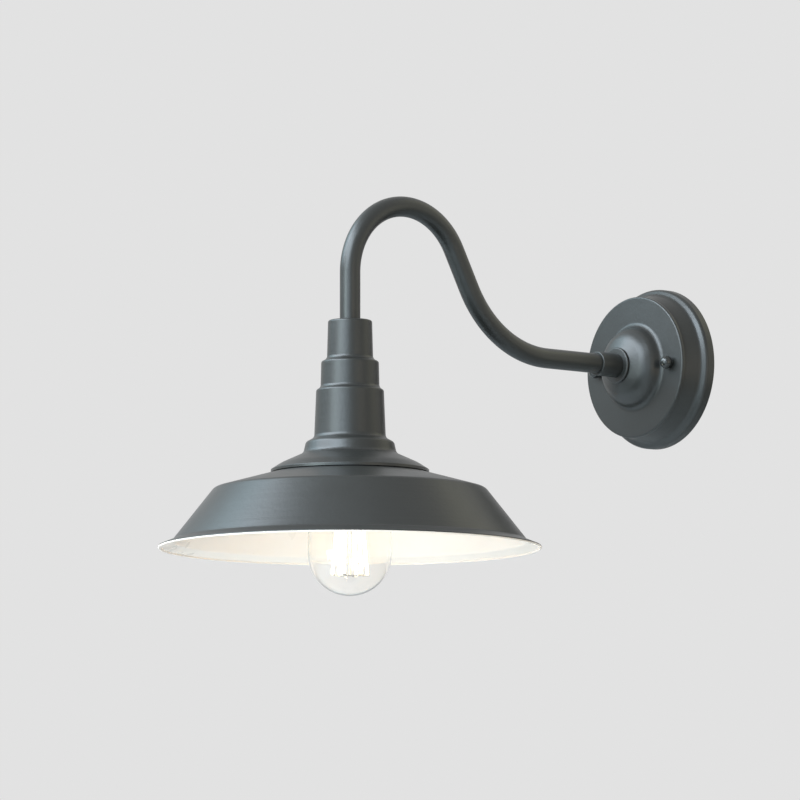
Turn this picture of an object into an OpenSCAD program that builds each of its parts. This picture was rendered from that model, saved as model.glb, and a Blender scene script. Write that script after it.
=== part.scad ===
// Gooseneck wall sconce: a round canopy on the wall, a bent tube arm, a stepped
// neck cover, a flared shade with a lip, and a globe bulb in a screw lampholder.
// The origin is the centre of the wall bracket's back face. +Z is up, and the
// lamp reaches away from the wall towards -Y.

/* [Arm] */
// Distance from the wall to the axis of the shade
arm_reach = 285.4; // [262:0.2:400]
// Height of the top of the bent tube's centre line above the wall centre
arm_rise = 94.6; // [80:0.2:150]
// Radius of the bend that lifts the tube away from the wall
root_bend_r = 81; // [55:1:100]
// Radius of the bend over the top
top_bend_r = 49.5; // [38:0.5:64]
// Angle of the climbing straight above the horizontal
climb_angle = 61.7; // [54:0.1:69]
// Length of the straight leg down to the neck cover
drop_leg = 33; // [14:1:120]
// Outside diameter of the arm tube
tube_d = 14; // [13:0.1:16]
// Wall of the arm tube
tube_wall = 1; // [0.8:0.1:1.3]

/* [Canopy] */
// Diameter of the flange that lies on the wall
pan_d = 113; // [108:0.5:130]
// Height of the flange's edge
pan_flange_h = 6.6; // [4:0.2:8]
// Diameter at the foot of the coved side
pan_side_d = 104.6; // [101:0.2:106]
// Distance from the wall to the flat face
canopy_depth = 24.6; // [24.2:0.2:36]
// Diameter of the face
face_d = 100; // [94:0.5:102]
// Thickness of the pressed canopy steel
canopy_wall = 1.2; // [0.8:0.1:1.6]
// Diameter of the dome's foot
dome_d = 61; // [56:0.5:64]
// Height of the dome above the face
dome_h = 15.8; // [14:0.2:22]
// Diameter of the dome's flat top
dome_top_d = 24.6; // [22:0.2:28]
// Diameter of the trim washer between dome and sleeve
trim_washer_d = 25.4; // [22:0.2:30]
// Thickness of the trim washer
trim_washer_t = 2.2; // [1.5:0.1:4]
// Diameter of the sleeve round the tube
sleeve_d = 17; // [16.8:0.1:20]
// Length of the sleeve
sleeve_l = 18; // [12:0.5:26]
// Distance between the two ball nuts
nut_spacing = 75; // [73:0.5:80]
// Diameter of a ball nut
ball_d = 9.4; // [8:0.1:11]

/* [Wall bracket] */
// Length of the upright strap that is screwed to the wall box
strap_l = 98; // [90:1:102]
// Length of the level strap that carries the studs
stud_strap_l = 92; // [88:1:100]
// Width of both straps
strap_w = 18; // [14:0.5:22]
// Thickness of the bracket
strap_t = 2; // [1.5:0.1:2.6]
// Distance between the centres of the two screw slots
slot_spacing = 78; // [70:0.5:80]
// Width of a screw slot
slot_w = 4.6; // [4:0.1:6]
// Length of a screw slot from end to end
slot_l = 12; // [8:0.5:14]
// Diameter of the hole for the supply cable
cable_hole_d = 12; // [8:0.5:14]
// Diameter of the two studs
stud_d = 4; // [3:0.1:5]

/* [Neck cover] */
// Diameter of the bottom flange over the shade
neck_flange_d = 107.4; // [94:0.2:116]
// Height of the sloping flare above the flange's edge
flare_h = 13.1; // [10:0.1:18]
// Diameter at the top of the ring above the flare
ring_d = 60; // [56:0.5:66]
// Height of the ring
ring_h = 7.5; // [5:0.1:12]
// Diameter at the top of the lowest tier
tier_3_d = 46; // [44:0.2:50]
// Height of the lowest tier
tier_3_h = 32.4; // [31:0.2:50]
// Diameter at the top of the middle tier
tier_2_d = 39.2; // [37:0.2:41]
// Height of the middle tier
tier_2_h = 17.5; // [10:0.5:30]
// Diameter at the top of the upper tier
tier_1_d = 30; // [28:0.2:32]
// Height of the upper tier
tier_1_h = 26.4; // [12:0.2:40]
// Thickness of the spun neck cover
neck_wall = 1; // [0.8:0.1:1.4]

/* [Shade] */
// Diameter of the shade over its rim
shade_d = 260; // [236:1:340]
// Height of the flat crown above the rim
shade_h = 57.2; // [52:0.2:70]
// Thickness of the spun shade
shade_wall = 1; // [0.8:0.1:1.3]
// Diameter of the flat crown
crown_d = 64; // [58:0.5:76]
// Distance inwards from the rim to the shoulder
skirt_run = 37.6; // [30:0.2:42]
// Height of the shoulder above the rim
shoulder_h = 40.8; // [34:0.2:46]
// Width of the flared lip
lip_w = 9.7; // [7:0.1:14]
// Height of the lip's root above the rim
lip_h = 5.4; // [4:0.1:8]
// Thickness of the rolled rim
rim_t = 1.8; // [1.6:0.1:2.6]

/* [Lampholder] */
// Diameter of the ceramic body
holder_d = 37; // [34:0.2:40]
// Height of the body above its collar
holder_h = 31.8; // [30:0.2:38]
// Length of the threaded skirt below the crown
holder_skirt_h = 12.2; // [10:0.2:16]
// Diameter of the ring that clamps the shade
clamp_ring_d = 54; // [50:0.5:60]
// Height of the ring that clamps the shade
clamp_ring_h = 8; // [7.2:0.2:9]

/* [Bulb] */
// Diameter of the globe
globe_d = 57; // [50:0.5:70]
// Length of the bulb from its contact to the bottom of the globe
bulb_l = 105; // [100:0.5:130]
// Diameter over the thread of the screw cap
cap_d = 26; // [25.6:0.1:26.4]
// Number of filaments round the stem
filament_count = 6; // [4:1:8]
// Diameter of a filament
filament_d = 1.8; // [1.2:0.1:2.4]

/* [Wiring] */
// Diameter of a wire over its insulation
wire_d = 2.4; // [1.8:0.1:2.6]
// Diameter of the threaded nipples
nipple_d = 10; // [9.6:0.1:10.4]
// Diameter of the bore through the nipples
nipple_bore_d = 8; // [7.2:0.1:8.4]

/* [Hidden] */

$fn = 96;
// Number of straight steps in a rounded corner
arc_steps = 8;
// How far a cutting tool runs past the face that it cuts
overrun = 1;
// Points closer than this are one point
same_point = 0.001;

// Clearances between pieces that are put together
thread_clear = 0.05;
slip_clear = 0.2;
bolt_clear = 0.4;
moving_gap = 0.35;
nut_gap = 0.1;

// Shape of the canopy pan and face
pan_edge_r = 3;
pan_cove_r = 3;
pan_step_h = 2.6;
pan_front_r = 0.8;
pan_front_gap = 0.5;
pan_opening_d = 66;
face_edge_h = 2.6;
face_edge_r = 1.3;
dome_foot_r = 2;
dome_shoulder_in = 2;
dome_shoulder_h = 6.2;
dome_shoulder_r = 9;
dome_crown_in = 8;
dome_crown_h = 11.8;
dome_crown_r = 16;
dome_top_r = 1.2;
trim_washer_r = 1;
sleeve_edge_r = 0.7;

// Threaded nipples, their lock nuts and toothed washers
lock_nut_af = 14;
lock_nut_h = 3;
lock_washer_d = 16;
lock_washer_t = 0.8;
nipple_tail = 3.5;
plug_l = 12;
plug_set = 0.3;
nipple_grip = 10;

// Studs, their lock nuts and the ball nuts
stud_nut_af = 7;
stud_nut_h = 3.2;
ball_foot_d = 7.8;
ball_foot_h = 0.6;
ball_wall = 1.6;

// Earth screw, lug and wire connectors
earth_x = 24;
earth_screw_d = 4;
earth_head_d = 7.2;
earth_head_h = 2.4;
earth_slot_w = 1;
earth_slot_depth = 1.1;
lug_d = 8.4;
lug_t = 0.8;
lug_barrel_d = 3.8;
lug_barrel_l = 5;
lug_barrel_z = 5.4;
lug_barrel_depth = 5;
lug_tongue_w = 3;
connector_l = 18;
connector_mouth_d = 8.6;
connector_tip_d = 6;
connector_tip_r = 1.4;
connector_mouth_depth = 4;
connector_mouth_bore_d = 5.6;
connector_grip_depth = 8;
connector_z = 13;
wire_bend_r = 6;
wire_offset = 1.9;
wire_turn_depth = 24;

// How far the climbing straight laps over both bends, and how much thicker it is
climb_lap = 1;
climb_swell = 0.06;

// Shape of the neck cover
neck_gap = 0.6;
flange_edge_h = 1.9;
flare_break_in = 6.9;
flare_break_h = 6.3;
flare_break_r = 22;
flare_top_out = 1.7;
ring_step_h = 3.1;
tier_step_h = 2;
tier_3_taper = 1.3;
tier_2_taper = 0.4;
tier_1_taper = 0.7;
tier_edge_r = 1.5;
tier_cove_r = 3.2;
ring_edge_r = 2.6;
ring_cove_r = 3.6;
flare_cove_r = 4;

// Shape of the shade
crown_round_r = 6;
shoulder_round_r = 5;
lip_round_r = 3.5;

// Lampholder
holder_collar_d = 45;
holder_collar_t = 3;
holder_thread_d = 39;
crown_hole_clear = 0.3;
holder_bore_depth = 29.3;
holder_throat_d = 19;
holder_throat_h = 3.1;
holder_cap_h = 10.2;
holder_cap_wall = 1.2;
holder_cap_r = 3;
holder_hub_d = 15;
holder_hub_h = 5.6;
shell_wall = 0.6;
shell_set = 3;
shell_lip_d = 20;
contact_d = 9;
contact_t = 0.6;
contact_post_d = 3.2;
contact_post_h = 7;
terminal_x = 11.2;
terminal_head_d = 6.4;
terminal_head_h = 3;
terminal_shank_d = 3.5;
terminal_shank_l = 7;
terminal_slot_w = 0.9;
terminal_wire_h = 1.5;
terminal_bend_r = 3.5;
clamp_collar_d = 45;
clamp_collar_h = 3;
clamp_ring_r = 1;
clamp_groove_count = 16;
clamp_groove_d = 1.6;
clamp_groove_l = 4;

// Bulb
cap_h = 24;
cap_wall = 0.5;
cap_groove_depth = 0.7;
cap_rib_count = 5;
cap_rib_pitch = 3.6;
cap_rib_d = 2.4;
cap_rib_start = 5.4;
cap_taper_h = 2;
insulator_h = 2;
insulator_foot_d = 19;
insulator_top_d = 11.5;
tip_d = 9.4;
tip_h = 1.5;
glass_wall = 0.8;
glass_neck_d = 23.4;
glass_neck_up = 13;
glass_waist_drop = 4;
glass_cheek_drop = 29;
glass_waist_r = 12;
glass_cheek_share = 0.95;
stem_d = 6;
stem_drop = 22.5;
stem_flare_drop = 2;
stem_flare_r = 5;
stem_edge_h = 1;
stem_tip_r = 1.4;
frame_wire_d = 0.8;
frame_rod_d = 1.2;
filament_drop = 24.5;
filament_l = 38;
filament_top_r = 8.6;
filament_bottom_r = 12;
filament_gap = 0.15;

// Derived sizes of the arm
root_level = arm_rise - (root_bend_r + top_bend_r) * (1 - cos(climb_angle));
climb_l = root_level / sin(climb_angle);
root_run = arm_reach - top_bend_r - (root_bend_r + top_bend_r) * sin(climb_angle)
    - climb_l * cos(climb_angle);
tube_bore_d = tube_d - 2 * tube_wall;
leg_top_z = arm_rise - top_bend_r;
neck_top_z = leg_top_z - drop_leg;

// Derived sizes of the canopy, measured outwards from the wall
dome_top = canopy_depth + dome_h;
sleeve_start = dome_top + trim_washer_t;
pan_front_d = face_d - 2 * canopy_wall - 2 * pan_front_gap;
pan_front = canopy_depth - canopy_wall;
nipple_hole_d = nipple_d + 2 * slip_clear;
thread_hole_d = nipple_d + 2 * thread_clear;
stud_hole_d = stud_d + 2 * bolt_clear;
ball_rise = sqrt(pow(ball_d / 2, 2) - pow(ball_foot_d / 2, 2));
ball_h = ball_foot_h + ball_rise + ball_d / 2;
stud_l = canopy_depth + nut_gap + ball_h - ball_wall - moving_gap;

// Derived sizes of the shade, measured upwards from its rim
shade_r = shade_d / 2;
shoulder_r = shade_r - skirt_run;
crown_slope = (shade_h - shoulder_h) / (shoulder_r - crown_d / 2);
crown_hole_d = holder_thread_d + 2 * crown_hole_clear;

// Derived heights of the neck cover, measured upwards from its flange
ring_top = flare_h + ring_h;
tier_3_foot = ring_top + ring_step_h;
tier_3_top = tier_3_foot + tier_3_h;
tier_2_foot = tier_3_top + tier_step_h;
tier_2_top = tier_2_foot + tier_2_h;
tier_1_foot = tier_2_top + tier_step_h;
neck_h = tier_1_foot + tier_1_h;

// Heights inside the head, measured upwards from the shade's rim
neck_foot = shade_h - crown_slope * (neck_flange_d / 2 - crown_d / 2) + neck_gap;
neck_top = neck_foot + neck_h;
rim_z = neck_top_z - neck_top;
holder_mouth = shade_h - holder_skirt_h;
holder_top = shade_h + holder_collar_t + holder_h;
bore_ceiling = holder_mouth + holder_bore_depth;
bulb_tip = bore_ceiling - contact_t - slip_clear - moving_gap;
bulb_bottom = bulb_tip - bulb_l;
cap_top = bulb_tip - tip_h - insulator_h;
cap_foot = cap_top - cap_h;
shell_bore_d = cap_d + 2 * moving_gap;
holder_bore_d = shell_bore_d + 2 * shell_wall + 2 * thread_clear;
stem_foot = cap_foot + glass_neck_up - stem_flare_drop;
filament_top = cap_foot - filament_drop;

// Functions that round and thicken an outline of [x, y, corner radius] points
function place(p) = [p[0], p[1]];
function heading(a, b) = (b - a) / norm(b - a);
function left_of(d) = [-d[1], d[0]];

function corner(a, b, c, r) =
    let (
        u = heading(b, a),
        v = heading(b, c),
        half = acos(u * v) / 2,
        hub = b + heading([0, 0], u + v) * r / sin(half),
        first = b + u * r / tan(half) - hub,
        last = b + v * r / tan(half) - hub,
        start = atan2(first[1], first[0]),
        sweep = atan2(cross(first, last), first * last)
    )
    [for (i = [0:arc_steps])
        hub + r * [cos(start + sweep * i / arc_steps), sin(start + sweep * i / arc_steps)]];

function rounded(path) =
    let (end = len(path) - 1)
    [for (i = [0:end])
        each i == 0 || i == end || path[i][2] == 0
            ? [place(path[i])]
            : corner(place(path[i - 1]), place(path[i]), place(path[i + 1]), path[i][2])];

function distinct(points) =
    [for (i = [0:len(points) - 1])
        if (i == 0 || norm(points[i] - points[max(i - 1, 0)]) > same_point) points[i]];

function beside(path, wall) =
    let (end = len(path) - 1)
    [for (i = [0:end])
        let (
            b = place(path[i]),
            into = i == 0 ? heading(b, place(path[1])) : heading(place(path[i - 1]), b),
            out = i == end ? into : heading(b, place(path[i + 1])),
            p = b + wall * (left_of(into) + left_of(out)) / (1 + left_of(into) * left_of(out)),
            r = path[i][2] == 0 ? 0 : max(0, path[i][2] - wall * sign(cross(into, out)))
        )
        [p[0], p[1], r]];

function backwards(points) = [for (i = [len(points) - 1:-1:0]) points[i]];

// A shell spun from an outline, with its wall on the left of the outline
module spun_shell(path, wall) {
    rotate_extrude()
        polygon(distinct(concat(rounded(path), backwards(rounded(beside(path, wall))))));
}

// A solid turned from a closed outline
module turned(path) {
    rotate_extrude()
        polygon(distinct(rounded(path)));
}

// Round bar with a plain bore, standing on the ground plane
module ring(d, bore, h) {
    difference() {
        cylinder(h = h, d = d);
        translate([0, 0, -overrun])
            cylinder(h = h + 2 * overrun, d = bore);
    }
}

// Hexagonal nut with a plain thread hole
module hex_nut(af, bore, h) {
    difference() {
        linear_extrude(h)
            circle(d = af / cos(30), $fn = 6);
        translate([0, 0, -overrun])
            cylinder(h = h + 2 * overrun, d = bore);
    }
}

// Flat outline with two round ends
module slot_outline(l, w) {
    square([l - w, w], center = true);
    for (side = [-1, 1])
        translate([side * (l - w) / 2, 0])
            circle(d = w);
}

// Height above the wall becomes the distance out of the wall
module out_of_wall(distance) {
    translate([0, -distance, 0])
        rotate([90, 0, 0])
            children();
}

// The head hangs on the axis of the shade, with its rim at the ground plane
module on_head(height) {
    translate([0, -arm_reach, rim_z + height])
        children();
}

// The arm is drawn flat: x is the distance from the wall, y is the height
module in_arm_plane() {
    rotate([90, 0, -90])
        children();
}

// Wall half of a round bar along the arm's centre line: the level straight, the
// bend and the climbing straight, which laps over both bends. Children go on the
// wall end, where the bar leaves along -Y.
module arm_root(d, side, start) {
    in_arm_plane()
        translate([root_run, root_bend_r, -side])
            rotate([0, 0, -90]) {
                translate([root_bend_r, 0, 0])
                    rotate([90, 0, 0])
                        cylinder(h = root_run - start, d = d);
                translate([root_bend_r, start - root_run, 0])
                    children();
                rotate_extrude(angle = climb_angle)
                    translate([root_bend_r, 0])
                        circle(d = d);
                rotate([0, 0, climb_angle])
                    translate([root_bend_r, -climb_lap, 0])
                        rotate([-90, 0, 0])
                            cylinder(h = climb_l + 2 * climb_lap, d = d + 2 * climb_swell);
            }
}

// Lamp half of that bar: the bend over the top and the leg. Children go on the
// foot of the leg, where the bar leaves along -Y.
module arm_head(d, side, finish_z) {
    in_arm_plane()
        translate([arm_reach - top_bend_r, leg_top_z, -side]) {
            rotate_extrude(angle = 90 + climb_angle)
                translate([top_bend_r, 0])
                    circle(d = d);
            translate([top_bend_r, 0, 0])
                rotate([90, 0, 0])
                    cylinder(h = leg_top_z - finish_z, d = d);
            translate([top_bend_r, finish_z - leg_top_z, 0])
                children();
        }
}

module wall_bracket() {
    color("silver")
        out_of_wall(0)
            linear_extrude(strap_t)
                difference() {
                    union() {
                        rotate(90)
                            slot_outline(strap_l, strap_w);
                        slot_outline(stud_strap_l, strap_w);
                    }
                    circle(d = cable_hole_d);
                    for (side = [-1, 1]) {
                        translate([0, side * slot_spacing / 2])
                            rotate(90)
                                slot_outline(slot_l, slot_w);
                        translate([side * nut_spacing / 2, 0])
                            circle(d = stud_d + 2 * thread_clear);
                    }
                    translate([-earth_x, 0])
                        circle(d = earth_screw_d + 2 * thread_clear);
                }
}

module stud_screws() {
    color("gainsboro")
        for (side = [-1, 1])
            translate([side * nut_spacing / 2, 0, 0])
                out_of_wall(0)
                    cylinder(h = stud_l, d = stud_d);
}

module stud_lock_nuts() {
    color("gainsboro")
        for (side = [-1, 1])
            translate([side * nut_spacing / 2, 0, 0])
                out_of_wall(strap_t)
                    hex_nut(stud_nut_af, stud_d + 2 * thread_clear, stud_nut_h);
}

module ground_screw() {
    color("seagreen")
        translate([-earth_x, 0, 0])
            out_of_wall(0)
                difference() {
                    union() {
                        cylinder(h = strap_t + lug_t, d = earth_screw_d);
                        translate([0, 0, strap_t + lug_t])
                            cylinder(h = earth_head_h, d = earth_head_d);
                    }
                    translate([0, 0, strap_t + lug_t + earth_head_h - earth_slot_depth / 2])
                        cube([earth_head_d + overrun, earth_slot_w, earth_slot_depth], center = true);
                }
}

// Ring terminal under the earth screw, with a barrel crimped on the wire
module earth_lug() {
    color("goldenrod")
        translate([-earth_x, 0, 0])
            difference() {
                union() {
                    out_of_wall(strap_t)
                        cylinder(h = lug_t, d = lug_d);
                    out_of_wall(strap_t)
                        translate([-lug_tongue_w / 2, earth_head_d / 2 + slip_clear, 0])
                            cube([lug_tongue_w, lug_barrel_z - earth_head_d / 2 + overrun,
                                lug_barrel_depth - strap_t]);
                    out_of_wall(strap_t)
                        translate([-lug_tongue_w / 2, 0, 0])
                            cube([lug_tongue_w, lug_barrel_z + overrun, lug_t]);
                    translate([0, -lug_barrel_depth, lug_barrel_z])
                        cylinder(h = lug_barrel_l, d = lug_barrel_d);
                }
                out_of_wall(strap_t - overrun)
                    cylinder(h = lug_t + 2 * overrun, d = earth_screw_d + 2 * thread_clear);
                translate([0, -lug_barrel_depth, lug_barrel_z - overrun])
                    cylinder(h = lug_barrel_l + 2 * overrun, d = wire_d + 2 * thread_clear);
            }
}

module earth_wire() {
    color("green")
        translate([-earth_x, -lug_barrel_depth, lug_barrel_z])
            cylinder(h = connector_z - lug_barrel_z + connector_grip_depth, d = wire_d);
}

// Twist-on cap with a wide mouth and a narrow grip, mouth on the ground plane
module connector() {
    difference() {
        turned([
            [0, 0, 0],
            [connector_mouth_d / 2, 0, 0],
            [connector_tip_d / 2, connector_l, connector_tip_r],
            [0, connector_l, 0]
        ]);
        translate([0, 0, -overrun])
            cylinder(h = connector_mouth_depth + overrun, d = connector_mouth_bore_d);
        cylinder(h = connector_grip_depth + overrun, d = wire_d + 2 * thread_clear);
    }
}

module wire_connectors() {
    color("darkorange") {
        translate([wire_offset, wire_bend_r - wire_turn_depth, connector_z])
            connector();
        translate([-wire_offset, wire_bend_r - wire_turn_depth, -connector_z])
            rotate([180, 0, 0])
                connector();
        translate([-earth_x, -lug_barrel_depth, connector_z])
            connector();
    }
}

// Stepped steel dish with a broad front opening, whose front carries the face
module canopy_pan() {
    color("dimgray")
        out_of_wall(0)
            difference() {
                spun_shell([
                    [pan_d / 2, 0, 0],
                    [pan_d / 2, pan_flange_h, pan_edge_r],
                    [pan_side_d / 2, pan_flange_h + pan_step_h, pan_cove_r],
                    [pan_front_d / 2, pan_front, pan_front_r + canopy_wall],
                    [pan_opening_d / 2, pan_front, 0]
                ], canopy_wall);
                stud_holes();
            }
}

// Clearance holes for the two studs through the front of the canopy
module stud_holes() {
    for (side = [-1, 1])
        translate([side * nut_spacing / 2, 0, pan_front - canopy_wall - overrun])
            cylinder(h = 2 * canopy_wall + 2 * overrun, d = stud_hole_d);
}

// Pressed lid over the pan, drawn up into a round dome
module canopy_face() {
    color("dimgray")
        out_of_wall(0)
            difference() {
                spun_shell([
                    [face_d / 2, canopy_depth - face_edge_h, 0],
                    [face_d / 2, canopy_depth, face_edge_r],
                    [dome_d / 2, canopy_depth, dome_foot_r],
                    [dome_d / 2 - dome_shoulder_in, canopy_depth + dome_shoulder_h, dome_shoulder_r],
                    [dome_d / 2 - dome_crown_in, canopy_depth + dome_crown_h, dome_crown_r],
                    [dome_top_d / 2, dome_top, dome_top_r + canopy_wall],
                    [nipple_hole_d / 2, dome_top, 0]
                ], canopy_wall);
                stud_holes();
            }
}

// Ball-headed cap nut with a blind thread hole, foot on the ground plane
module ball_nut() {
    difference() {
        union() {
            cylinder(h = ball_foot_h, d = ball_foot_d);
            translate([0, 0, ball_foot_h])
                intersection() {
                    translate([0, 0, ball_rise])
                        sphere(d = ball_d);
                    cylinder(h = ball_h, d = ball_d + overrun);
                }
        }
        translate([0, 0, -overrun])
            cylinder(h = ball_h - ball_wall + overrun, d = stud_d + 2 * thread_clear);
    }
}

module ball_nut_left() {
    color("black")
        translate([-nut_spacing / 2, 0, 0])
            out_of_wall(canopy_depth + nut_gap)
                ball_nut();
}

module ball_nut_right() {
    color("black")
        translate([nut_spacing / 2, 0, 0])
            out_of_wall(canopy_depth + nut_gap)
                ball_nut();
}

module trim_washer() {
    color("dimgray")
        out_of_wall(dome_top)
            turned([
                [nipple_hole_d / 2, 0, 0],
                [trim_washer_d / 2, 0, trim_washer_r],
                [trim_washer_d / 2, trim_washer_t, trim_washer_r],
                [nipple_hole_d / 2, trim_washer_t, 0],
                [nipple_hole_d / 2, 0, 0]
            ]);
}

module arm_sleeve() {
    color("dimgray")
        out_of_wall(sleeve_start)
            turned([
                [tube_d / 2 + thread_clear, 0, 0],
                [sleeve_d / 2, 0, 0],
                [sleeve_d / 2, sleeve_l, sleeve_edge_r],
                [tube_d / 2 + thread_clear, sleeve_l, 0],
                [tube_d / 2 + thread_clear, 0, 0]
            ]);
}

module wall_nipple() {
    back = dome_top - canopy_wall - lock_washer_t - lock_nut_h - nipple_tail;
    color("silver")
        out_of_wall(back)
            ring(nipple_d, nipple_bore_d, sleeve_start + plug_set + nipple_grip - back);
}

// Toothed washer: a thin ring with notches cut round its edge
module lock_washer() {
    teeth = 12;
    notch_share = 0.1;
    difference() {
        ring(lock_washer_d, thread_hole_d, lock_washer_t);
        for (i = [0:teeth - 1])
            rotate([0, 0, i * 360 / teeth])
                translate([lock_washer_d / 2, 0, -overrun])
                    cylinder(h = lock_washer_t + 2 * overrun, d = lock_washer_d * notch_share);
    }
}

module wall_lock_washer() {
    color("silver")
        out_of_wall(dome_top - canopy_wall - lock_washer_t)
            lock_washer();
}

module wall_lock_nut() {
    color("silver")
        out_of_wall(dome_top - canopy_wall - lock_washer_t - lock_nut_h)
            hex_nut(lock_nut_af, thread_hole_d, lock_nut_h);
}

// One bent tube from the trim washer to the top of the neck cover
module arm_tube() {
    color("dimgray")
        difference() {
            union() {
                arm_root(tube_d, 0, sleeve_start);
                arm_head(tube_d, 0, neck_top_z);
            }
            arm_root(tube_bore_d, 0, sleeve_start - overrun);
            arm_head(tube_bore_d, 0, neck_top_z - overrun);
        }
}

// Threaded plugs welded into both ends of the tube
module tube_plugs() {
    color("silver") {
        out_of_wall(sleeve_start + plug_set)
            ring(tube_bore_d - 2 * thread_clear, thread_hole_d, plug_l);
        on_head(neck_top + plug_set)
            ring(tube_bore_d - 2 * thread_clear, thread_hole_d, plug_l);
    }
}

// Quarter turn of wire from the arm's level into the canopy, up or down
module canopy_turn(way) {
    translate([-way * wire_bend_r, 0, 0]) {
        rotate_extrude(angle = -way * 90)
            translate([way * wire_bend_r, 0])
                circle(d = wire_d);
        rotate([0, 0, -way * 90])
            translate([way * wire_bend_r, 0, 0])
                rotate([90, 0, 0])
                    cylinder(h = connector_z + connector_grip_depth - wire_bend_r, d = wire_d);
    }
}

// Quarter turn of wire from the nipple out to a terminal, to one side or the other
module terminal_turn(way) {
    reach = terminal_x - terminal_head_d / 2 - wire_offset - terminal_bend_r;
    rotate([0, 90, 0])
        translate([way * terminal_bend_r, 0, 0]) {
            rotate_extrude(angle = way * 90)
                translate([-way * terminal_bend_r, 0])
                    rotate(90)
                        circle(d = wire_d);
            rotate([0, 0, way * 90])
                translate([-way * terminal_bend_r, 0, 0])
                    rotate([90, 0, 0])
                        rotate([0, 0, 90])
                            cylinder(h = reach, d = wire_d);
        }
}

// Wire from a canopy connector, through the arm, to a lampholder terminal
module lamp_wire(way) {
    arm_root(wire_d, way * wire_offset, wire_turn_depth)
        canopy_turn(way);
    arm_head(wire_d, way * wire_offset, rim_z + holder_top + terminal_wire_h + terminal_bend_r)
        terminal_turn(way);
}

module live_wire() {
    color("black")
        lamp_wire(1);
}

module neutral_wire() {
    color("white")
        lamp_wire(-1);
}

module head_nipple() {
    foot = holder_top + holder_cap_h - holder_cap_wall - nipple_tail;
    color("silver")
        on_head(foot)
            ring(nipple_d, nipple_bore_d, neck_top + plug_set + nipple_grip - foot);
}

// Spun steel cover of three tapering tiers above a ring and a wide flare
module neck_cover() {
    color("dimgray")
        on_head(neck_foot)
            spun_shell([
                [neck_flange_d / 2, 0, 0],
                [neck_flange_d / 2, flange_edge_h, 0],
                [neck_flange_d / 2 - flare_break_in, flare_break_h, flare_break_r],
                [ring_d / 2 + flare_top_out, flare_h, flare_cove_r],
                [ring_d / 2, ring_top, ring_edge_r],
                [tier_3_d / 2 + tier_3_taper, tier_3_foot, ring_cove_r],
                [tier_3_d / 2, tier_3_top, tier_edge_r],
                [tier_2_d / 2 + tier_2_taper, tier_2_foot, tier_cove_r],
                [tier_2_d / 2, tier_2_top, tier_edge_r],
                [tier_1_d / 2 + tier_1_taper, tier_1_foot, tier_cove_r],
                [tier_1_d / 2, neck_h, tier_edge_r],
                [nipple_hole_d / 2, neck_h, 0]
            ], neck_wall);
}

module neck_lock_washer() {
    color("silver")
        on_head(neck_top - neck_wall - lock_washer_t)
            lock_washer();
}

module neck_lock_nut() {
    color("silver")
        on_head(neck_top - neck_wall - lock_washer_t - lock_nut_h)
            hex_nut(lock_nut_af, thread_hole_d, lock_nut_h);
}

// Spun reflector: flat crown, shallow cone, round shoulder, steep skirt and lip
module shade() {
    rim_r = shade_r - rim_t / 2;
    color("dimgray")
        on_head(0) {
            spun_shell([
                [crown_hole_d / 2, shade_h, 0],
                [crown_d / 2, shade_h, crown_round_r],
                [shoulder_r, shoulder_h, shoulder_round_r],
                [shade_r - lip_w, lip_h, lip_round_r],
                [rim_r, rim_t, 0]
            ], -shade_wall);
            rotate_extrude()
                translate([rim_r, rim_t / 2])
                    circle(d = rim_t);
        }
}

// Steel cap over the terminals, with a threaded hub for the nipple
module lampholder_cap() {
    color("silver")
        on_head(holder_top)
            difference() {
                union() {
                    spun_shell([
                        [holder_d / 2, 0, 0],
                        [holder_d / 2, holder_cap_h, holder_cap_r],
                        [thread_hole_d / 2, holder_cap_h, 0]
                    ], holder_cap_wall);
                    translate([0, 0, holder_cap_h - holder_cap_wall])
                        cylinder(h = holder_hub_h + holder_cap_wall, d = holder_hub_d);
                }
                translate([0, 0, holder_cap_h - holder_cap_wall - overrun])
                    cylinder(h = holder_hub_h + holder_cap_wall + 2 * overrun, d = thread_hole_d);
            }
}

// Ceramic body: its collar lies on the crown and its skirt goes through it
module lampholder_body() {
    color("ivory")
        on_head(holder_mouth)
            difference() {
                union() {
                    cylinder(h = holder_skirt_h, d = holder_thread_d);
                    translate([0, 0, holder_skirt_h])
                        cylinder(h = holder_collar_t, d = holder_collar_d);
                    translate([0, 0, holder_skirt_h + holder_collar_t])
                        cylinder(h = holder_h, d = holder_d);
                }
                translate([0, 0, -overrun])
                    cylinder(h = holder_bore_depth - holder_throat_h + overrun, d = holder_bore_d);
                translate([0, 0, -overrun])
                    cylinder(h = holder_bore_depth + overrun, d = holder_throat_d);
                cylinder(h = holder_bore_depth + contact_post_h, d = contact_post_d + 2 * thread_clear);
                for (side = [-1, 1])
                    translate([side * terminal_x, 0, holder_top - holder_mouth - terminal_shank_l])
                        cylinder(h = terminal_shank_l + overrun, d = terminal_shank_d + 2 * thread_clear);
            }
}

module terminal_screws() {
    color("goldenrod")
        for (side = [-1, 1])
            on_head(holder_top)
                translate([side * terminal_x, 0, 0])
                    difference() {
                        union() {
                            cylinder(h = terminal_head_h, d = terminal_head_d);
                            translate([0, 0, -terminal_shank_l])
                                cylinder(h = terminal_shank_l, d = terminal_shank_d);
                        }
                        translate([0, 0, terminal_head_h])
                            cube([terminal_slot_w, terminal_head_d + overrun, terminal_slot_w],
                                center = true);
                    }
}

// Brass shell that the bulb screws into, open below, with a lip above
module screw_shell() {
    shell_h = holder_bore_depth - holder_throat_h - shell_set;
    color("gold")
        on_head(holder_mouth + shell_set)
            spun_shell([
                [shell_bore_d / 2 + shell_wall, 0, 0],
                [shell_bore_d / 2 + shell_wall, shell_h, 0],
                [shell_lip_d / 2, shell_h, 0]
            ], shell_wall);
}

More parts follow.
